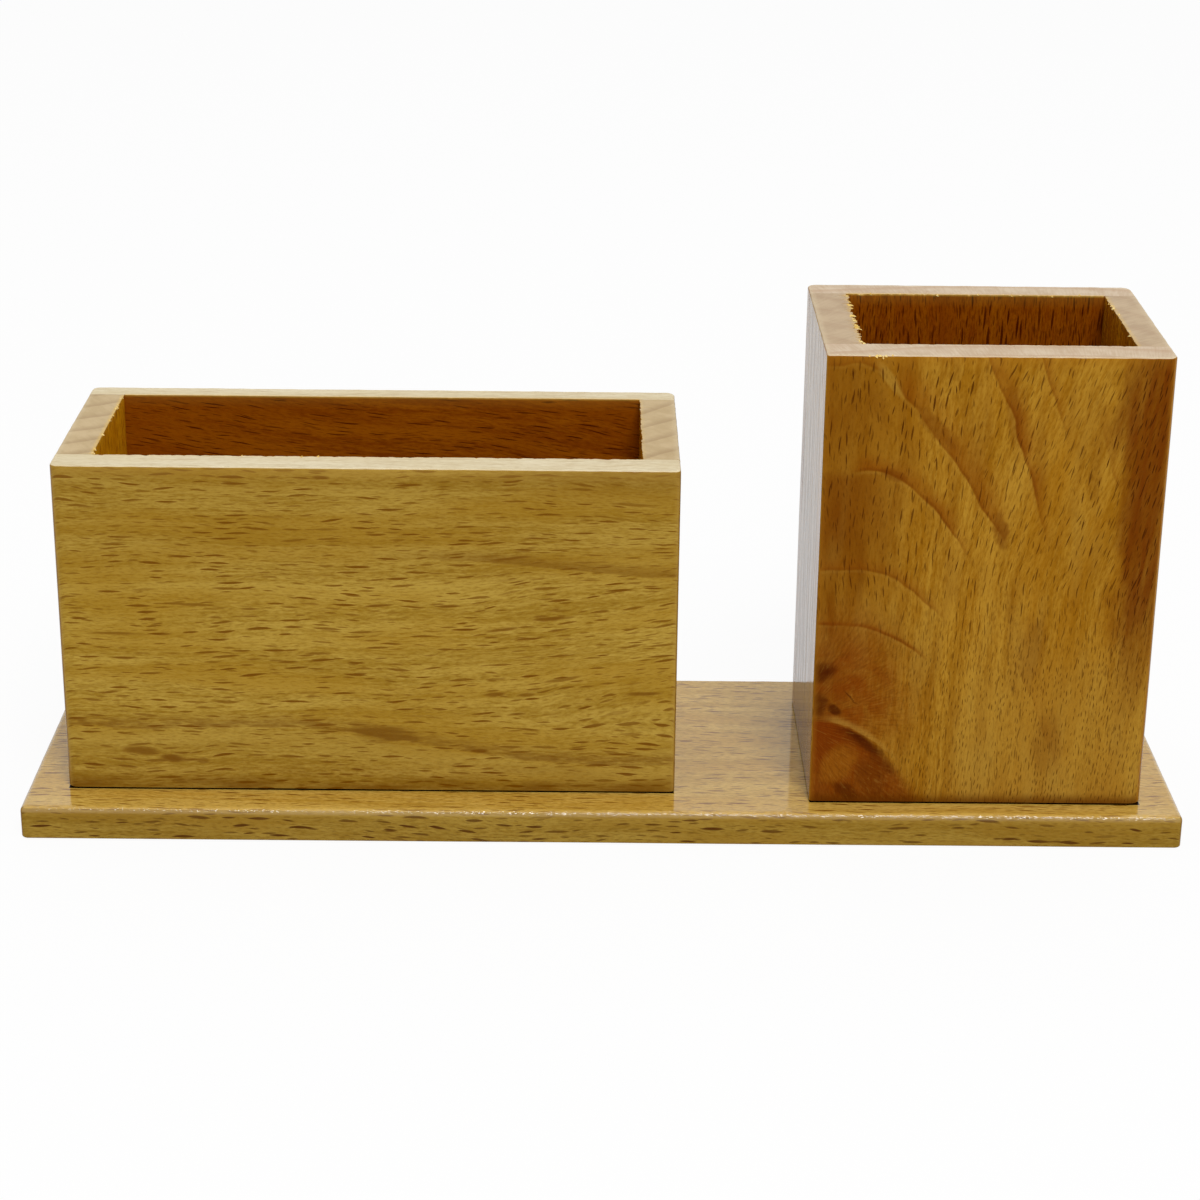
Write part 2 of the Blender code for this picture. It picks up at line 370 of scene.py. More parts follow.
def tray_front_figure(g, place, colour, flecks):
    """A dark wavy streak low across the tray's front, a thin one above it, and some big flecks. It is darker
    towards its top edge and towards its foot.
    """
    x, y, z = place
    sway = g.noise(x / 20, z / 14, 3.0) - 0.5
    chop = g.noise(x / 5, z / 0.9, 8.0, detail=3.0)
    off = z - (23.0 - x.rise(-75.0, 0.0) * 8.2 + sway * 3.0)
    main = off.rise(-0.9, -0.2) * off.rise(3.4, 0.2) * (chop.rise(0.32, 0.62) * 0.75 + 0.25)
    under = off.rise(-0.8, -1.8) * off.rise(-8.0, -3.5)
    colour = g.mix(under * 0.4, colour, STREAK_PALE)
    blob = lens(x + sway * 5.0, z + (chop - 0.5) * 4.0, -47.0, 21.2, 8.0, 2.8, -0.05) * (chop * 0.8 + 0.4)
    upper = z - (62.6 - x.rise(-40.0, 14.0) * 3.8 + sway * 1.5)
    thin = upper.rise(-0.5, 0.0) * upper.rise(3.0, 0.2) * x.rise(-56.0, -20.0)
    top = z.rise(73.0, 82.0) * (x.rise(-40.0, 10.0) * 0.6 + 0.4) + z.rise(48.0, 66.0) * 0.4
    foot = z.rise(15.0, 8.0) * g.noise(x / 18, z / 3, 9.0).rise(0.4, 0.65) + z.rise(11.5, 8.0)
    dark = main * 0.65 + blob * 0.55 + thin * 0.45 + top * 0.35 + foot * 0.4
    colour = g.mix(dark.at_most(0.8), colour, STREAK_BROWN)
    for middle_x, middle_z, half_length, half_width, slope, strength in TRAY_FLECKS:
        ragged = z + (chop - 0.5) * half_width
        one = lens(x, ragged, middle_x, middle_z, half_length, half_width, slope)
        flecks = flecks.at_least(one * strength)
    return colour, flecks


# Growth lines over the knot. Each runs through x and z with a slope and a bend, shows between left and right,
# and has a strength and a shade that spreads above it.
Vein = namedtuple("Vein", "x z slope bend left right strength spread")
VEINS = (
    Vein(52.0, 49.6, 0.0, -0.028, 40.0, 71.0, 0.75, 0.8),
    Vein(53.0, 62.3, 0.0, -0.030, 40.0, 74.0, 0.50, 2.0),
    Vein(55.0, 84.3, 0.0, -0.040, 51.0, 79.0, 0.80, 2.6),
    Vein(52.0, 107.9, 0.0, -0.088, 43.0, 60.0, 0.45, 2.2),
    Vein(62.2, 100.6, -1.2, -0.010, 59.0, 87.0, 0.70, 4.5),
    Vein(79.7, 107.3, -1.9, -0.060, 76.0, 95.0, 0.90, 2.6),
    Vein(90.8, 107.3, -2.7, 0.0, 87.0, 98.5, 0.45, 2.0),
    Vein(104.6, 91.6, -3.0, 0.0, 102.0, 111.0, 0.35, 2.0),
    Vein(89.2, 40.5, -2.4, 0.0, 86.0, 104.0, 0.15, 3.6),
)
# Eyes in the knot and smudges round it: middle, half width, half height, slope, strength
EYES = (
    (46.6, 38.4, 4.2, 3.4, 0.2, 0.75),
    (46.8, 30.6, 2.0, 3.6, 0.0, 0.7),
    (50.2, 29.4, 2.0, 1.3, -0.4, 0.9),
    (53.4, 32.2, 1.8, 0.5, -0.9, 0.7),
    (57.4, 21.8, 4.6, 1.9, -0.6, 0.6),
    (61.0, 17.5, 4.0, 2.6, -0.8, 0.4),
    (53.4, 9.9, 3.6, 2.6, -0.4, 0.6),
    (58.7, 13.5, 4.0, 5.5, -0.3, 0.3),
)
SMUDGES = (
    (60.5, 83.6, 3.4, 1.5, -0.2, 0.6),
    (69.0, 94.0, 6.0, 3.0, -1.0, 0.45),
    (83.8, 71.5, 2.2, 5.0, -1.0, 0.75),
    (85.0, 98.0, 2.0, 8.0, -1.5, 0.4),
    (111.5, 71.0, 4.0, 9.0, 0.0, 0.5),
    (115.5, 90.0, 3.0, 16.0, 0.0, 0.4),
    (97.0, 22.0, 4.0, 9.0, 0.0, 0.3),
    (92.0, 44.0, 3.0, 10.0, 0.0, 0.3),
)
KNOT_X, KNOT_Z = 50.0, 33.0
HAIR_X, HAIR_Z = 42.0, 27.0
ARCH_X, ARCH_Z, ARCH_BEND = 45.5, 27.2, 0.0275
LEAN_FROM, LEAN_ABOVE, LEAN_BELOW = 58.0, 0.28, 0.08
BAND_FLECKS = Rays(3.4, 1.1, 0.6, 0.55)
LOW_FLECKS = Rays(1.9, 0.75, 0.6, 0.55)
KNOT_BROWN = (122, 57, 3)
KNOT_DEEP = (84, 32, 1)
KNOT_DARK = (62, 18, 0)
FAN_BROWN = (113, 44, 1)
FAN_GOLD = (146, 88, 16)
RING_BROWN = (108, 54, 3)
RING_ORANGE = (126, 66, 4)
BAND_BROWN = (104, 47, 2)
FOOT_BROWN = (92, 46, 3)
GROUND_BROWN = (120, 70, 6)
GROUND_GOLD = (170, 130, 48)
RIDGE_PALE = (176, 132, 52)

# Noise that makes the figure of the cup's front wander, from the widest to the finest, and an upright smear
Sway = namedtuple("Sway", "slow drift fast smear")


def cup_front_flow(place):
    """The grain of the cup's front leans over towards its right edge, and less so low down."""
    x, y, z = place
    above, below = (z - LEAN_FROM).at_least(0.0), (z - LEAN_FROM).at_most(0.0)
    return (above * -LEAN_ABOVE - below * LEAN_BELOW) * x.rise(50.0, 112.0)


def cup_ground(g, x, z, colour, sway):
    """Brown wood on the left above the knot. Golden wood in streaks, low on the right and at the top left."""
    brown = x.rise(74.0, 46.0) * z.rise(30.0, 50.0) * 0.7 + sway.smear.rise(0.45, 0.7) * 0.4
    colour = g.mix(brown, colour, GROUND_BROWN)
    streaks = g.noise(x / 7, z / 30, 16.0, detail=2.0).rise(0.48, 0.7) * z.rise(96.0, 70.0)
    low_right = z.rise(56.0, 24.0) * x.rise(68.0, 86.0)
    top_left = lens(x, z, 58.7, 104.6, 3.8, 2.2, -1.2)
    return g.mix(streaks * 0.35 + low_right * 0.4 + top_left * 0.5, colour, GROUND_GOLD)


def growth_lines(g, x, z, colour, sway):
    """Growth lines, each with an orange shade above and a pale ridge below, and a shadow between two."""
    patchy = g.noise(x / 12, z / 12, 10.0).rise(0.25, 0.55) * 0.6 + 0.4
    for vein in VEINS:
        u = (x + sway.drift * 2.0 - vein.x).at_least(-3.0)
        fall = u * (2 * vein.bend) + vein.slope
        gap = z + sway.drift * 1.5 + sway.fast * 0.3 - vein.z - u * vein.slope - u * u * vein.bend
        gap = gap / (fall * fall + 1.0).root()
        line = gap.rise(-0.2, 0.15) * gap.rise(0.9, 0.2)
        above = gap.rise(-0.2, 0.3) * gap.rise(vein.spread * 1.8, 0.0)
        ridge = gap.rise(-1.0, -0.4) * gap.rise(0.0, -0.3)
        shown = x.rise(vein.left, vein.left + 4.0) * x.rise(vein.right, vein.right - 6.0)
        shown = shown * vein.strength * patchy
        colour = g.mix(ridge * shown * 0.2, colour, RIDGE_PALE)
        colour = g.mix(above * shown * 0.95, colour, RING_ORANGE)
        colour = g.mix(line * shown * 0.65, colour, RING_BROWN)
    shadow = (x + sway.slow * 8.0).rise(66.0, 50.0) * z.rise(58.0, 76.0) * z.rise(85.0, 82.0)
    return g.mix(shadow * 0.55, colour, RING_BROWN)


def knot_fan(g, x, z, colour, sway):
    """The fan of darker wood under an arch below the knot. Returns the colour, and where the fan lies."""
    across = x - ARCH_X
    below = ARCH_Z - across * across * ARCH_BEND + sway.fast * 0.8 - z
    fan = (below / ((x - 56.0).at_least(0.0) * 0.7 + 1.0)).rise(-0.1, 0.7) * x.rise(80.0, 62.0)
    colour = g.mix(fan * 0.8, colour, FAN_BROWN)
    shelf = fan * below.rise(4.0, 0.3) * x.rise(49.0, 55.0) * x.rise(62.5, 56.0)
    colour = g.mix(shelf * 0.7, colour, KNOT_DARK)
    glow = fan * lens(x + sway.fast * 4.0, z + sway.slow * 6.0, 51.5, 16.5, 5.0, 5.5, 0.4)
    colour = g.mix(glow * 0.65, colour, FAN_GOLD)
    crest = below.rise(-2.2, -0.6) * below.rise(0.1, -0.3) * x.rise(47.0, 51.0) * x.rise(68.0, 56.0)
    return g.mix(crest * 0.45, colour, RIDGE_PALE), fan


def knot_figure(g, x, z, colour, sway):
    """The knot, its fan, eyes and fine hairs. Returns the colour, and where the wood is clear of them."""
    dx, dz = x - KNOT_X, z - KNOT_Z
    near = (dx * dx + dz * dz).root() + sway.slow * 8.0 + sway.fast * 3.0
    swirl = g.noise(x / 4 + sway.fast * 1.6, z / 4 + sway.slow * 2.5, 12.0, detail=3.0)
    knot = near.rise(25.0, 5.0)
    colour = g.mix(knot * (swirl.rise(0.3, 0.7) * 0.25 + 0.7), colour, KNOT_BROWN)
    colour = g.mix(knot * x.rise(56.0, 46.0) * 0.3, colour, KNOT_DEEP)
    colour, fan = knot_fan(g, x, z, colour, sway)
    spot_x, spot_z = x + sway.fast * 2.4, z + sway.slow * 3.0 + sway.fast
    for brown, spots in ((KNOT_DARK, EYES), (RING_BROWN, SMUDGES)):
        for *shape, strength in spots:
            spot = lens(spot_x, spot_z, *shape)
            colour = g.mix(spot * (swirl * 0.8 + 0.5) * strength, colour, brown)
    turn = g.math("ARCTAN2", z - HAIR_Z, x - HAIR_X)
    hair = g.noise(turn * 40, near / 2.2, 31.0, detail=3.0, roughness=0.6)
    close = near.rise(24.0, 10.0).at_least(fan)
    colour = g.mix(close * hair.rise(0.52, 0.34) * 0.25, colour, KNOT_DARK)
    colour = g.mix(close * hair.rise(0.54, 0.7) * 0.16, colour, RIDGE_PALE)
    return colour, near.rise(9.0, 24.0) * (1.0 - fan * 0.85)


def cup_front_figure(g, place, colour, flecks):
    """A knot low on the left of the cup's front, with growth lines that run up and away from it.

    A darker band with dense flecks runs down the right edge, and low down the flecks are small and many.
    """
    x, y, z = place
    sway = Sway(
        slow=g.noise(x / 20, z / 20, 2.0, detail=1.0) - 0.5,
        drift=g.noise(x / 9, z / 9, 14.0) - 0.5,
        fast=g.noise(x / 3, z / 3, 4.0) - 0.5,
        smear=g.noise(x / 5, z / 26, 6.0, detail=3.0),
    )
    colour = cup_ground(g, x, z, colour, sway)
    colour = growth_lines(g, x, z, colour, sway)

    band = (x + sway.fast * 2.0 + (sway.smear - 0.5) * 8.0).rise(105.0, 113.0) * z.rise(24.0, 62.0)
    streaks = g.noise((x - z * 0.12) / 1.6, z / 16, 21.0, detail=3.0)
    colour = g.mix(band * (streaks.rise(0.35, 0.65) * 0.25 + 0.7), colour, BAND_BROWN)
    flecks = flecks.at_least(g.dashes(z + 4.0, x - z * 0.22, BAND_FLECKS) * band)

    colour, clear = knot_figure(g, x, z, colour, sway)
    # Darker towards the foot
    colour = g.mix(z.rise(10.8, 8.0) * 0.75, colour, FOOT_BROWN)
    low = z.rise(66.0, 36.0)
    small = g.dashes(z + 2.0, x - (z - LEAN_FROM) * LEAN_BELOW + sway.drift, LOW_FLECKS)
    flecks = (flecks * (1.0 - low * 0.35)).at_least(small * low * 0.85)
    return colour, flecks * (clear * 0.85 + 0.15) * (band * 0.1 + 0.9)


WORN_GOLD = (188, 150, 70)
WORN_PALE = (226, 208, 168)
SATIN = Coat(0.5, 1.3, 0.3)
RAISED_GRAIN, EDGE_BEADS = 0.2, 0.22


def make_materials():
    """The finish of every kind of side, by its name."""
    tray = Look(
        3.1, (180, 148, 62), (149, 114, 31), (159, 120, 30), (112, 68, 2), WORN_GOLD,
        bold=Rays(7.4, 1.5, 0.5, 0.75), fine=Rays(4.6, 1.1, 0.42, 0.7), pores=0.15,
    )
    # The inner faces of the tray's long boards: a darker, redder copy of their wood, painted shade of the
    # inside
    inside = Look(
        7.7, (157, 86, 5), (130, 61, 2), (140, 70, 2), (75, 20, 0), (180, 120, 30),
        bold=Rays(7.5, 1.1, 0.5, 0.6), fine=Rays(4.6, 0.8, 0.4, 0.55), pores=0.12, slope=0.12,
    )
    # The tops of the tray's long boards: a paler copy of their wood, painted light on the top faces
    rim = Look(
        11.3, (230, 217, 184), (214, 197, 158), (221, 204, 163), (192, 168, 124), WORN_PALE,
        bold=Rays(9.0, 0.8, 0.3), fine=Rays(7.0, 0.5, 0.4), wander=2.0, coat=SATIN,
    )
    upright = Look(
        17.9, (169, 132, 52), (142, 101, 23), (152, 107, 27), (102, 60, 4), WORN_GOLD, raised=RAISED_GRAIN,
    )
    # The inner faces of the tray's end blocks: a brighter, more golden copy of their wood, painted light
    # where the inside lies in shade
    upright_inside = Look(
        23.3, (238, 172, 22), (206, 134, 10), (220, 148, 12), (150, 82, 3), (232, 190, 88),
        bold=Rays(5.0, 0.9, 0.5),
    )
    cup = Look(
        29.7, (173, 127, 39), (146, 97, 15), (151, 98, 11), (70, 30, 1), (164, 107, 25),
        bold=Rays(4.6, 1.8, 0.65, 0.34), fine=Rays(3.0, 1.4, 0.55, 0.4), pores=0.12, wander=4.0,
        coat=Coat(0.3, 1.12, 0.2),
    )
    cup_edge = cup._replace(seed=67.3, coat=BOARD_COAT, raised=RAISED_GRAIN)
    # The inner faces of the cup's long boards: a darker, redder copy of their wood, painted shade of the
    # inside
    cup_inside = Look(
        31.1, (154, 84, 4), (127, 57, 1), (137, 65, 2), (70, 17, 0), (176, 118, 34),
        bold=Rays(7.0, 1.0, 0.6), fine=Rays(4.5, 0.7, 0.6),
    )
    # The inner faces of the cup's end blocks: a brighter, more golden copy of their wood, painted light where
    # the inside lies in shade
    cup_side_painted_light = cup_inside._replace(
        seed=71.9, light=(206, 136, 18), dark=(154, 86, 6), warm=(172, 100, 8), fleck=(96, 44, 2),
        bold=Rays(2.0, 0.8, 0.5), fine=Rays(1.4, 0.6, 0.5), pores=0.5,
    )
    # The base's top: paler than its edges, partly the wood's own tone and partly painted light
    base_top = Look(
        41.9, (220, 182, 89), (193, 151, 56), (202, 158, 62), (122, 74, 11), WORN_GOLD,
        bold=Rays(7.0, 1.6, 0.5, 0.7), fine=Rays(4.4, 1.1, 0.45, 0.7), slope=0.03,
        coat=Coat(1.0, 1.6, 0.06), sparkle=EDGE_BEADS,
    )
    # The boards' undersides: a dark glue joint with painted shade for the gap beneath them
    joint = Look(19.1, JOINT_AND_SHADE_DARK, (18, 9, 3), (30, 15, 4), (12, 6, 2), JOINT_AND_SHADE_DARK)
    base_edge = base_top._replace(
        light=(165, 134, 55), dark=(139, 106, 31), warm=(147, 110, 32), fleck=(82, 44, 4),
        bold=Rays(6.5, 1.8, 0.55, 0.72), fine=Rays(4.2, 1.3, 0.4, 0.65), pores=0.12,
        coat=Coat(0.06, 1.6, 0.06),
    )
    # The end grain on the tops of the blocks and the cup's boards: paler than end grain on the sides, painted
    # light on the top faces
    end = EndLook(5.5, (203, 177, 131), (187, 160, 112), (158, 126, 80), WORN_PALE, (-290.0, 310.0), 7.8)
    cup_end_painted_light = EndLook(9.2, (212, 190, 160), (192, 164, 130), (184, 146, 110), WORN_PALE, (90.0, -170.0), 7.0)
    cup_side_end_painted_light = EndLook(
        15.8, (193, 167, 130), (176, 148, 112), (166, 130, 94), WORN_PALE, (-60.0, -150.0), 9.0, 0.25,
    )
    board_end = EndLook(
        13.4, (156, 118, 44), (132, 92, 20), (108, 68, 10), WORN_GOLD, (30.0, -60.0), 4.5, coat=BOARD_COAT,
    )
    crumb = EndLook(
        3.3, (246, 222, 150), (226, 186, 92), (214, 166, 70), WORN_PALE, (0.0, 90.0), 2.0, coat=SATIN,
    )
    return {
        "base_top": long_grain("base_beech_top", (X, Y, Z), base_top, figure=base_joints_and_painted_shade),
        "joint": long_grain("beech_joint", (X, Y, Z), joint),
        "base_edge": long_grain("base_beech_edge", (X, Y, Z), base_edge),
        "base_end": end_grain("base_beech_end_grain", (Y, Z), board_end._replace(seed=2.2)),
        "tray_front": long_grain("tray_beech_front", (X, Z, Y), tray, tray_front_flow, tray_front_figure),
        "tray_back": long_grain("tray_beech_back", (X, Z, Y), tray._replace(seed=53.1)),
        "tray_inside": long_grain("tray_beech_inside", (X, Z, Y), inside),
        "tray_rim": long_grain("tray_beech_rim", (X, Y, Z), rim),
        "tray_end": end_grain("tray_beech_end_grain", (Y, Z), board_end),
        "upright": long_grain("upright_beech_outside", (Z, Y, X), upright),
        "upright_inside": long_grain("upright_beech_inside", (Z, Y, X), upright_inside),
        "end_rim": end_grain("upright_beech_rim", (X, Y), end),
        "cup_front": long_grain("cup_beech_front", (Z, X, Y), cup, cup_front_flow, cup_front_figure),
        "cup_back": long_grain("cup_beech_back", (Z, X, Y), cup._replace(seed=61.7)),
        "cup_edge": long_grain("cup_beech_edge", (Z, Y, X), cup_edge),
        "cup_inside": long_grain("cup_beech_inside", (Z, X, Y), cup_inside),
        "cup_side_inside": long_grain("cup_beech_side_inside", (Z, Y, X), cup_side_painted_light),
        "cup_rim": end_grain("cup_beech_rim", (X, Y), cup_end_painted_light),
        "cup_end_rim": end_grain("cup_beech_end_rim", (X, Y), cup_side_end_painted_light),
        "splinter": end_grain("beech_splinters", (X, Y), crumb),
    }


# Boards

ARC_STEPS = 5
WELD = 1e-7
SHARP_ANGLE = math.radians(38)


def grid_lines(low, high, low_rounds, high_rounds, step):
    """Where a box is cut along one axis: closely over rounded edges, and about a step apart between them."""
    spread = [1 - math.tan(math.pi / 4 * k / ARC_STEPS) for k in range(ARC_STEPS + 1)]
    start = {low} | {low + radius * share for radius in low_rounds for share in spread}
    stop = {high} | {high - radius * share for radius in high_rounds for share in spread}
    inner_low, inner_high = max(start), min(stop)
    count = max(1, round((inner_high - inner_low) / step))
    return sorted(start | set(np.linspace(inner_low, inner_high, count + 1)) | stop)


def box_surface(low, high, edges, steps):
    """The points, the quads and each quad's side of a box cut into a grid that suits its rounded edges."""
    lines = []
    for axis in range(3):
        rounds = [
            {radius for pair, radius in edges.items() if (axis, end) in pair and radius} for end in (0, 1)
        ]
        lines.append(grid_lines(low[axis], high[axis], *rounds, steps[axis]))
    corners, sides = [], []
    for axis, end in SIDES:
        a, b = (axis + 1) % 3, (axis + 2) % 3
        first, second = np.meshgrid(lines[a], lines[b], indexing="ij")
        grid = np.empty((*first.shape, 3))
        grid[..., axis], grid[..., a], grid[..., b] = lines[axis][-end], first, second
        ring = [grid[:-1, :-1], grid[1:, :-1], grid[1:, 1:], grid[:-1, 1:]]
        quads = np.stack(ring if end else ring[::-1], axis=2).reshape(-1, 3)
        corners.append(quads)
        sides += [(axis, end)] * (len(quads) // 4)
    steps_of_weld = np.round(np.concatenate(corners) / WELD)
    places, numbers = np.unique(steps_of_weld, axis=0, return_inverse=True)
    return places * WELD, numbers.reshape(-1, 4), sides


def side_gaps(points, low, high, side):
    """How far each point lies from a side of its box."""
    axis, end = side
    return np.abs(points[:, axis] - (low, high)[end][axis])


def bend_round(u, v):
    """How much two shares shrink when the square corner that they lie on becomes a round one."""
    both = (u > 0) & (v > 0)
    return np.where(both, np.maximum(u, v) / np.where(both, np.hypot(u, v), 1), 1.0)


def round_off(points, low, high, edges):
    """Points on a box moved onto its rounded edges: the upright ones, then those round its top and foot."""
    moved = points.copy()
    uprights = {pair: radius for pair, radius in edges.items() if pair[1][0] != Z}
    rims = {pair: radius for pair, radius in edges.items() if pair[1][0] == Z}
    sides = sorted({pair[0] for pair in rims})
    gaps = np.array([side_gaps(points, low, high, side) for side in sides])
    depth = gaps.min(axis=0)
    facing = np.zeros((len(points), 2))
    for nearest, (axis, end) in enumerate(sides):
        facing[gaps.argmin(axis=0) == nearest, axis] = 1 if end else -1
    for pair, radius in uprights.items():
        shares = [1 - side_gaps(points, low, high, side) / radius for side in pair]
        bend = bend_round(*shares)
        curved = (shares[0] > 0) & (shares[1] > 0)
        for (axis, end), share in zip(pair, shares):
            sign = 1 if end else -1
            moved[:, axis] -= sign * radius * (share * (1 - bend))
            facing[curved, axis] = sign * (share / np.hypot(*shares))[curved]
    for end in (0, 1):
        radius = max((radius for pair, radius in rims.items() if pair[1] == (Z, end)), default=0)
        if radius:
            inward = np.clip(1 - depth / radius, 0, 1)
            upward = np.clip(1 - side_gaps(points, low, high, (Z, end)) / radius, 0, 1)
            bend = bend_round(inward, upward)
            moved[:, :2] -= facing * (radius * inward * (1 - bend))[:, None]
            moved[:, 2] -= (1 if end else -1) * radius * upward * (1 - bend)
    return moved


def edge_nearness(points, low, high, edges, fade):
    """1 on a rounded edge, down to 0 at about the fade distance from it."""
    near = np.zeros(len(points))
    for first, second in edges:
        gap = side_gaps(points, low, high, first) ** 2 + side_gaps(points, low, high, second) ** 2
        near = np.maximum(near, np.exp(-gap / fade ** 2))
    return near


def lip_nearness(points, low, high, tear, opening):
    """The glow of the sawn edge where a side meets the top, down to 0 at about the lip's width from it."""
    gap = side_gaps(points, low, high, tear.side) ** 2 + side_gaps(points, low, high, TOP) ** 2
    place = points[:, 1 - tear.side[0]]
    return tear.glow * np.exp(-gap / LIP_WIDTH ** 2) * ((place > opening[0]) & (place < opening[1]))


PLANING, PLANING_WAVE = 0.05 * MM, 31
SANDING, SANDING_WAVE = 0.06 * MM, 2.6
NEAR_EDGE = 0.02
WOBBLE_SEED = 7
FINE_BITE, FINE_BITE_RATE, BITE_DROP = 0.6, 2.7, 0.8


def wobble(points, near, seed):
    """The small unevenness of planed faces and hand-sanded edges."""
    for k, point in enumerate(points):
        place = Vector(point) / MM + Vector((seed, seed * 1.7, seed * 2.3))
        points[k] += np.array(noise.noise_vector(place / PLANING_WAVE)) * PLANING
        if near[k] > NEAR_EDGE:
            points[k] += np.array(noise.noise_vector(place / SANDING_WAVE)) * near[k] * SANDING
    return points


def tear_edge(points, low, high, tear, opening, seed):
    """A saw-torn edge where a side meets the top: small bites out of it, each about a grain wide."""
    axis, end = tear.side
    away = -1 if end else 1
    gap = side_gaps(points, low, high, tear.side)
    drop = side_gaps(points, low, high, TOP)
    place = points[:, 1 - axis]
    torn = (gap < TEAR_REACH) & (drop < TEAR_REACH) & (place > opening[0]) & (place < opening[1])
    for k in np.nonzero(torn)[0]:
        spot = place[k] / tear.grain
        bite = noise.noise(Vector((spot, seed, 0.0)))
        bite += FINE_BITE * noise.noise(Vector((spot * FINE_BITE_RATE, seed, 5.0)))
        fade = max(0.0, 1 - math.hypot(gap[k], drop[k]) / TEAR_REACH)
        points[k, axis] += away * tear.depth * bite * fade
        points[k, 2] -= tear.depth * max(0.0, bite) * BITE_DROP * fade
    return points


def new_mesh_object(name, points, faces):
    mesh = bpy.data.meshes.new(name)
    mesh.from_pydata([tuple(p) for p in points], [], [tuple(f) for f in faces])
    mesh.validate()
    obj = bpy.data.objects.new(name, mesh)
    bpy.context.scene.collection.objects.link(obj)
    return obj


def set_point_values(mesh, name, values):
    mesh.attributes.new(name, "FLOAT", "POINT").data.foreach_set("value", values.astype(np.float32))


def shade_round(mesh):
    mesh.shade_smooth()
    mesh.set_sharp_from_angle(angle=SHARP_ANGLE)


def finish_mesh(obj, sides, finishes, materials, near, lip):
    """Materials on the sides of a new board, and what its materials need to know of its edges."""
    mesh = obj.data
    names = sorted(set(finishes.values()))
    for finish in names:
        mesh.materials.append(materials[finish])
    mesh.polygons.foreach_set("material_index", [names.index(finishes[side]) for side in sides])
    set_point_values(mesh, "edge", near)
    set_point_values(mesh, "lip", lip)
    shade_round(mesh)


GLUE = 0.25 * MM
FOOT_LIFT = 0.12 * MM
ARRIS = 0.5 * MM
WEAR_WIDTH = 0.8 * MM
LIP_WIDTH = 0.35 * MM
TEAR_REACH = 1.5 * MM
LENGTHWISE = (0.5 * MM, 1.0 * MM, 2.5 * MM)
CROSSWISE = (1.0 * MM, 0.35 * MM, 2.5 * MM)

Tear = namedtuple("Tear", "side depth grain glow")
Board = namedtuple("Board", "node outer corners finishes slot seed steps tear")

# A box has the finishes of its sides, and the rounds of its front and back corners from left to right. Each
# of its boards, front, back, left and right, has a seed, and the depth, grain and glow of its sawn edge.
# Lengths are in millimetres.
Box = namedtuple("Box", "name front back inside side rim block_inside block_rim corners seeds tears")
BOXES = (
    Box(
        "tray", "tray_front", "tray_back", "tray_inside", "tray_end", "tray_rim", "upright_inside", "end_rim",
        corners={FRONT: (2.2, 1.2), BACK: (1.8, 2.2)},
        seeds=(1.3, 4.1, 8.9, 12.7),
        tears=((0.18, 1.6, 0.3), (0.15, 2.0, 0.8), (0.3, 0.7, 0.9), (0.25, 1.4, 0.3)),
    ),
    Box(
        "cup", "cup_front", "cup_back", "cup_inside", "cup_edge", "cup_rim", "cup_side_inside", "cup_end_rim",
        corners={FRONT: (0.8, 2.4), BACK: (1.8, 2.4)},
        seeds=(21.1, 24.5, 27.9, 33.3),
        tears=((0.12, 1.5, 0.2), (0.4, 0.7, 1.0), (1.1, 1.1, 0.4), (0.25, 0.8, 0.6)),
    ),
)


def box_boards(box):
    """The four boards of a box: two long ones, and two upright blocks between them."""
    # The boards' undersides take the dark joint colour, which is also painted shade for the gap beneath them
    long_sides = {LEFT: box.side, RIGHT: box.side, TOP: box.rim, BOTTOM: "joint"}
    block_sides = {FRONT: "upright", BACK: "upright", TOP: box.block_rim, BOTTOM: "joint"}
    plans = (
        ("front_board", FRONT, BACK, {FRONT: box.front, BACK: box.inside, **long_sides}),
        ("back_board", BACK, FRONT, {BACK: box.back, FRONT: box.inside, **long_sides}),
        ("left_end", LEFT, RIGHT, {LEFT: "upright", RIGHT: box.block_inside, **block_sides}),
        ("right_end", RIGHT, LEFT, {RIGHT: "upright", LEFT: box.block_inside, **block_sides}),
    )
    for (name, outer, inner, finishes), seed, (depth, grain, glow) in zip(plans, box.seeds, box.tears):
        node = f"{box.name}_{name}"
        tear = Tear(inner, depth * MM, grain * MM, glow)
        if outer in box.corners:
            corners = {(end, outer): radius * MM for end, radius in zip((LEFT, RIGHT), box.corners[outer])}
            sides = (LEFT, RIGHT, outer)
            yield Board(node, sides, corners, finishes, f"{box.name}_beech", seed, LENGTHWISE, tear)
        else:
            yield Board(node, (outer,), {}, finishes, "upright_beech", seed, CROSSWISE, tear)


def dress_board(board, materials):
    """Replaces a CAD board by a finer one. grow closes the glue lines at the ends of an upright block."""
    low, high = (list(corner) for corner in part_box(board.node))
    grow = GLUE if board.node.endswith("_end") else 0.0
    low[1] -= grow
    high[1] += grow
    low[2] += FOOT_LIFT
    edges = {(side, TOP): ARRIS for side in board.outer}
    edges.update(board.corners)
    points, quads, sides = box_surface(low, high, edges, board.steps)
    near = edge_nearness(points, low, high, edges, WEAR_WIDTH)
    opening = edge_opening(board.node)
    lip = lip_nearness(points, low, high, board.tear, opening)
    points = wobble(round_off(points, low, high, edges), near, board.seed)
    points = tear_edge(points, low, high, board.tear, opening, board.seed)
    obj = new_mesh_object(f"{board.node}_wood", points, quads)
    finish_mesh(obj, sides, board.finishes, materials, near, lip)
    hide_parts(board.node)
    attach(obj, "root")


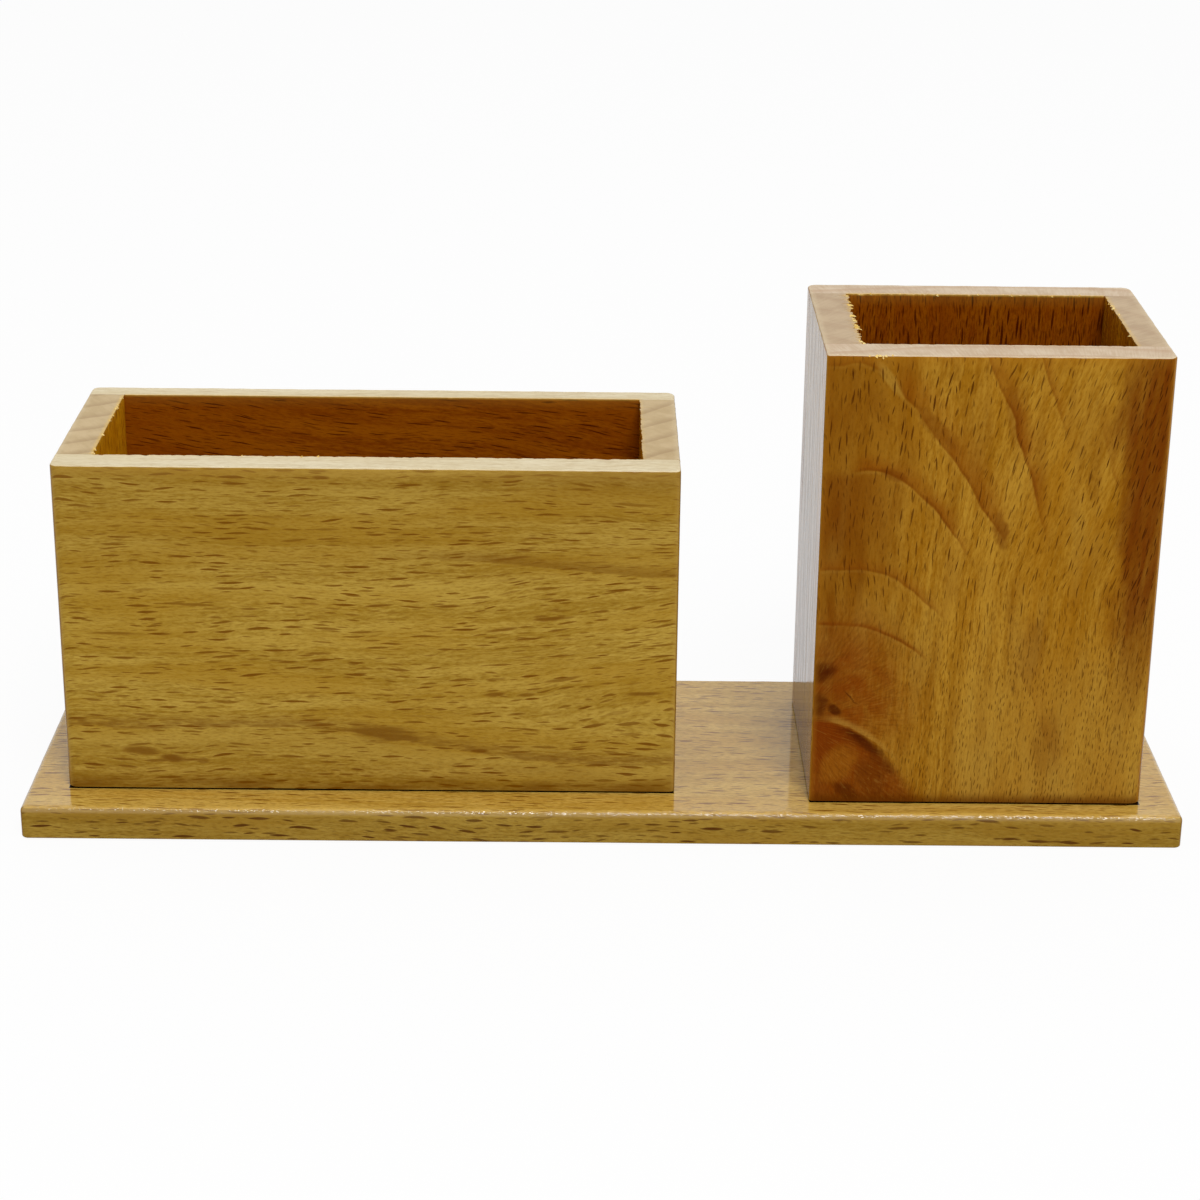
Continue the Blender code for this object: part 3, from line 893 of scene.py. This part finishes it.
def edge_opening(node):
    """Where a board's top edge lies open to the inside, along that edge."""
    ring = node.split("_")[0]
    if node.endswith("_end"):
        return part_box(f"{ring}_front_board")[1][1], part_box(f"{ring}_back_board")[0][1]
    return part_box(f"{ring}_left_end")[1][0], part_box(f"{ring}_right_end")[0][0]


# Base and screws

BASE_TOP_ROUND = 1.5 * MM
BASE_CORNER_ROUND = 1.6 * MM
BASE_FOOT_ROUND = 0.4 * MM
BASE_TOP_BAND = 0.45 * MM
BASE_WEAR_WIDTH = 1.4 * MM
BASE_STEPS = (2.0 * MM, 2.0 * MM, 0.5 * MM)
BASE_SEED = 37.7
SCREW_NODES = sorted(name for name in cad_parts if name.endswith("_screw"))
THREAD_RADIUS = 1.5 * MM
HEAD_RIM = 0.4 * MM
HEAD_TAPER = 1.5 * MM
HOLE_CLEARANCE = 0.3 * MM
CUT_OVERRUN = 2 * MM
TURNED_STEPS = 32
ZINC_GREY, ZINC_PALE, ZINC_PATCH = (190, 191, 193), (216, 216, 213), 0.8


def turned_body(outline, x, y, first):
    """A closed body turned about an upright line. outline runs from pole to pole as radius and height."""
    points, rings = [], []
    for radius, height in outline:
        count = TURNED_STEPS if radius else 1
        rings.append([first + len(points) + k for k in range(count)])
        for k in range(count):
            turn = math.tau * k / count
            points.append((x + radius * math.cos(turn), y + radius * math.sin(turn), height))
    faces = []
    for lower, upper in zip(rings, rings[1:]):
        for k in range(TURNED_STEPS):
            ends = [lower[k % len(lower)], lower[(k + 1) % len(lower)]]
            ends += [upper[(k + 1) % len(upper)], upper[k % len(upper)]]
            faces.append(tuple(dict.fromkeys(ends)))
    return points, faces


def drill_screw_holes(base):
    """Countersunk holes in the base's underside, one round each screw."""
    points, faces = [], []
    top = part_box("base_board")[1][2] + CUT_OVERRUN
    for name in SCREW_NODES:
        low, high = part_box(name)
        head = (high[0] - low[0]) / 2 + HOLE_CLEARANCE
        thread = THREAD_RADIUS + HOLE_CLEARANCE
        rim = low[2] + HEAD_RIM + HOLE_CLEARANCE
        outline = (
            (0.0, -CUT_OVERRUN),
            (head, -CUT_OVERRUN),
            (head, rim),
            (thread, rim + HEAD_TAPER),
            (thread, top),
            (0.0, top),
        )
        more = turned_body(outline, (low[0] + high[0]) / 2, (low[1] + high[1]) / 2, len(points))
        points += more[0]
        faces += more[1]
    drill = new_mesh_object("screw_hole_cutter", points, faces)
    hole_wood = base.data.materials.find("base_beech_end_grain")
    drill.data.polygons.foreach_set("material_index", [hole_wood] * len(faces))
    for material in base.data.materials:
        drill.data.materials.append(material)
    cut = base.modifiers.new("screw_holes", "BOOLEAN")
    cut.object = drill
    bpy.context.view_layer.update()
    whole = base.evaluated_get(bpy.context.evaluated_depsgraph_get())
    mesh = bpy.data.meshes.new_from_object(whole)
    base.modifiers.clear()
    base.data = mesh
    shade_round(mesh)
    bpy.data.objects.remove(drill)


def build_base(materials):
    low, high = (list(corner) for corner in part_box("base_board"))
    around = (LEFT, RIGHT, FRONT, BACK)
    edges = {(side, TOP): BASE_TOP_ROUND for side in around}
    edges.update({(side, BOTTOM): BASE_FOOT_ROUND for side in around})
    edges.update({(side, end): BASE_CORNER_ROUND for side in (LEFT, RIGHT) for end in (FRONT, BACK)})
    points, quads, sides = box_surface(low, high, edges, BASE_STEPS)
    near = edge_nearness(points, low, high, [pair for pair in edges if TOP in pair], BASE_WEAR_WIDTH)
    points = wobble(round_off(points, low, high, edges), near, BASE_SEED)
    base = new_mesh_object("base_board_wood", points, quads)
    heights = points[quads, 2].mean(axis=1)
    sides = [TOP if height > high[2] - BASE_TOP_BAND else side for height, side in zip(heights, sides)]
    finishes = {**dict.fromkeys(SIDES, "base_edge"), LEFT: "base_end", RIGHT: "base_end", TOP: "base_top"}
    finish_mesh(base, sides, finishes, materials, near, np.zeros(len(points)))
    drill_screw_holes(base)
    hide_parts("base_board")
    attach(base, "root")


def finish_screws():
    g = Graph(bpy.data.materials.new("zinc_plate"))
    x, y, z = g.place()
    haze = g.noise(x / ZINC_PATCH, y / ZINC_PATCH, z / ZINC_PATCH, detail=3.0)
    colour = g.mix(haze.rise(0.3, 0.7), ZINC_GREY, ZINC_PALE)
    inputs = {"Base Color": colour, "Metallic": 1.0, "Roughness": 0.22 + haze * 0.2}
    zinc = g.finish(g.node("BsdfPrincipled", inputs))
    for name in SCREW_NODES:
        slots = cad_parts[name].data.materials
        slots.clear()
        slots.append(zinc)


# Loose fibres

# A crumb's cross-sections, as a share of its length and of its width, and how far its tip droops
SLIVER_SECTIONS = ((0.0, 1.0), (0.5, 0.95), (0.85, 0.6))
SLIVER_DROOP = Vector((0, 0, 0.2))
SLIVER_UP, SLIVER_THICKNESS = Vector((0.3, 0.2, 1.0)), 0.6
SLIVER_WIDTHS = (0.35, 0.8)
ROOT_DEPTHS, ROOT_INSETS = (0.1, 0.5), (0.1, 0.6)
SIDE_LEAN, UP_LEAN = (-0.6, 0.6), (-0.2, 0.35)

# Crumbs on the sawn edges: node, side, count, lengths, the share of the edge that they lie on, slot and seed
FRINGES = (
    ("cup_left_end", RIGHT, 20, (0.9 * MM, 1.6 * MM), (0.02, 0.98), "upright_beech", 5),
    ("cup_right_end", LEFT, 12, (0.4 * MM, 0.8 * MM), (0.02, 0.98), "upright_beech", 6),
    ("tray_left_end", RIGHT, 14, (0.4 * MM, 0.8 * MM), (0.02, 0.98), "upright_beech", 7),
    ("tray_front_board", BACK, 14, (0.4 * MM, 0.8 * MM), (0.07, 0.93), "tray_beech", 8),
    ("cup_back_board", FRONT, 12, (0.2 * MM, 0.4 * MM), (0.12, 0.9), "cup_beech", 9),
    ("cup_front_board", FRONT, 10, (0.3 * MM, 0.6 * MM), (0.12, 0.19), "cup_beech", 10),
)


def sliver(root, reach, width, first):
    """A closed crumb of wood: a small triangle at its root that keeps its width and then ends in a point."""
    side = reach.cross(SLIVER_UP).normalized() * width / 2
    lift = side.cross(reach).normalized() * width * SLIVER_THICKNESS
    points, faces = [], []
    for share, spread in SLIVER_SECTIONS:
        middle = root + reach * share - SLIVER_DROOP * reach.length * share ** 2
        points += [middle + corner * spread for corner in (side, -side, lift)]
    points.append(root + reach - SLIVER_DROOP * reach.length)
    last = len(SLIVER_SECTIONS) - 1
    for step in range(last + 1):
        ring = [first + 3 * step + k for k in range(3)]
        after = [k + 3 for k in ring] if step < last else [first + 3 * last + 3] * 3
        for k in range(3):
            corners = (ring[k], ring[(k + 1) % 3], after[(k + 1) % 3], after[k])
            faces.append(tuple(dict.fromkeys(corners)))
    faces.append((first, first + 2, first + 1))
    return points, faces


def build_fibres(name, slot, slivers, materials):
    points, faces = [], []
    for root, reach, width in slivers:
        more = sliver(root, reach, width, len(points))
        points += more[0]
        faces += more[1]
    obj = new_mesh_object(name, points, faces)
    shape = bmesh.new()
    shape.from_mesh(obj.data)
    bmesh.ops.recalc_face_normals(shape, faces=shape.faces)
    shape.to_mesh(obj.data)
    shape.free()
    obj.data.materials.append(materials["splinter"])
    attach(obj, "root")


def torn_fibres(node, side, count, lengths, span, seed):
    """Crumbs along a share of a board's sawn top edge: where each starts, how it reaches and its width."""
    axis, end = side
    low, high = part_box(node)
    out = Vector((0.0, 0.0, 0.0))
    out[axis] = 1 if end else -1
    chance = random.Random(seed)
    for _ in range(count):
        root = Vector((low[0], low[1], high[2] - chance.uniform(*ROOT_DEPTHS) * MM))
        root[axis] = (low, high)[end][axis] - out[axis] * chance.uniform(*ROOT_INSETS) * MM
        along = 1 - axis
        root[along] = low[along] + (high[along] - low[along]) * chance.uniform(*span)
        lean = Vector([chance.uniform(*most) for most in (SIDE_LEAN, SIDE_LEAN, UP_LEAN)])
        yield root, (out + lean).normalized() * chance.uniform(*lengths), chance.uniform(*SLIVER_WIDTHS) * MM


# Studio

CAMERA_PLACE = (-4.314 * MM, -590.58 * MM, 269.655 * MM)
CAMERA_YAW, CAMERA_PITCH, CAMERA_ROLL = -0.344, -21.041, -0.645
FOCAL_PIXELS, IMAGE_PIXELS = 2798.65, 1200
SENSOR = 36.0


def build_camera():
    data = bpy.data.cameras.new("camera")
    data.sensor_width = SENSOR
    data.lens = FOCAL_PIXELS / IMAGE_PIXELS * SENSOR
    data.clip_start, data.clip_end = 0.01, 50
    camera = bpy.data.objects.new("camera", data)
    bpy.context.scene.collection.objects.link(camera)
    turn = (
        Matrix.Rotation(math.radians(CAMERA_YAW), 3, "Z")
        @ Matrix.Rotation(math.radians(CAMERA_PITCH), 3, "X")
        @ Matrix.Rotation(math.radians(CAMERA_ROLL), 3, "Y")
    )
    right, ahead, up = turn.col
    facing = Matrix((right, up, -ahead)).transposed().to_4x4()
    camera.matrix_world = Matrix.Translation(CAMERA_PLACE) @ facing
    bpy.context.scene.camera = camera


AMBIENT = 0.5
MIRRORED_WHITE = 0.85
FLOOR_WHITE = 0.93
FLOOR_HALF, FLOOR_DROP = 6.0, 0.2 * MM
FLOOR_CLOTH, WHITE = (0.9, 0.9, 0.9, 1.0), (1.0, 1.0, 1.0, 1.0)
LIT_PLACE = (0.0, 0.0, 0.04)

# Soft lamps: name, place, size and watts
LAMPS = (("key", (0.25, -1.05, 1.4), 0.6, 15.0), ("top", (0.1, 0.5, 1.3), 0.8, 2.5))


def white_share(graph, seen, mirrored):
    """How much of the plain white each kind of ray meets: none for light that falls on the object."""
    path = graph.node("LightPath")
    camera = Num(graph, path.outputs["Is Camera Ray"]) * seen
    glossy = Num(graph, path.outputs["Is Glossy Ray"]) * mirrored
    through = Num(graph, path.outputs["Is Transmission Ray"]) * seen
    return camera.at_least(glossy).at_least(through)


def build_floor():
    half = FLOOR_HALF
    corners = [(x, y, -FLOOR_DROP) for x, y in ((-half, -half), (half, -half), (half, half), (-half, half))]
    floor = new_mesh_object("floor", corners, [(0, 1, 2, 3)])
    g = Graph(bpy.data.materials.new("floor_white"))
    cloth = g.node("BsdfDiffuse", {"Color": FLOOR_CLOTH})
    white = g.node("Emission", {"Color": WHITE, "Strength": 1.0})
    share = white_share(g, FLOOR_WHITE, MIRRORED_WHITE)
    floor.data.materials.append(
        g.finish(g.node("MixShader", {0: share, 1: cloth.outputs["BSDF"], 2: white.outputs["Emission"]}))
    )


def build_world():
    bpy.context.scene.world = bpy.data.worlds.new("studio")
    g = Graph(bpy.context.scene.world)
    share = white_share(g, 1.0, MIRRORED_WHITE)
    sky = g.node("Background", {"Color": WHITE, "Strength": AMBIENT})
    white = g.node("Background", {"Color": WHITE, "Strength": 1.0})
    both = g.node("MixShader", {0: share, 1: sky.outputs[0], 2: white.outputs[0]})
    g.finish(both, "OutputWorld")


def add_softbox(name, place, size, watts):
    data = bpy.data.lights.new(name, "AREA")
    data.shape = "SQUARE"
    data.size = size
    data.energy = watts
    lamp = bpy.data.objects.new(name, data)
    bpy.context.scene.collection.objects.link(lamp)
    lamp.location = place
    lamp.rotation_euler = (Vector(LIT_PLACE) - Vector(place)).to_track_quat("-Z", "Y").to_euler()


def main():
    noise.seed_set(WOBBLE_SEED)
    materials = make_materials()
    build_base(materials)
    for box in BOXES:
        for board in box_boards(box):
            dress_board(board, materials)
    for node, side, count, lengths, span, slot, seed in FRINGES:
        slivers = torn_fibres(node, side, count, lengths, span, seed)
        build_fibres(f"{node}_fibres", slot, slivers, materials)
    finish_screws()
    build_camera()
    build_floor()
    build_world()
    for lamp in LAMPS:
        add_softbox(*lamp)
    bpy.context.scene.view_settings.view_transform = "Standard"


main()
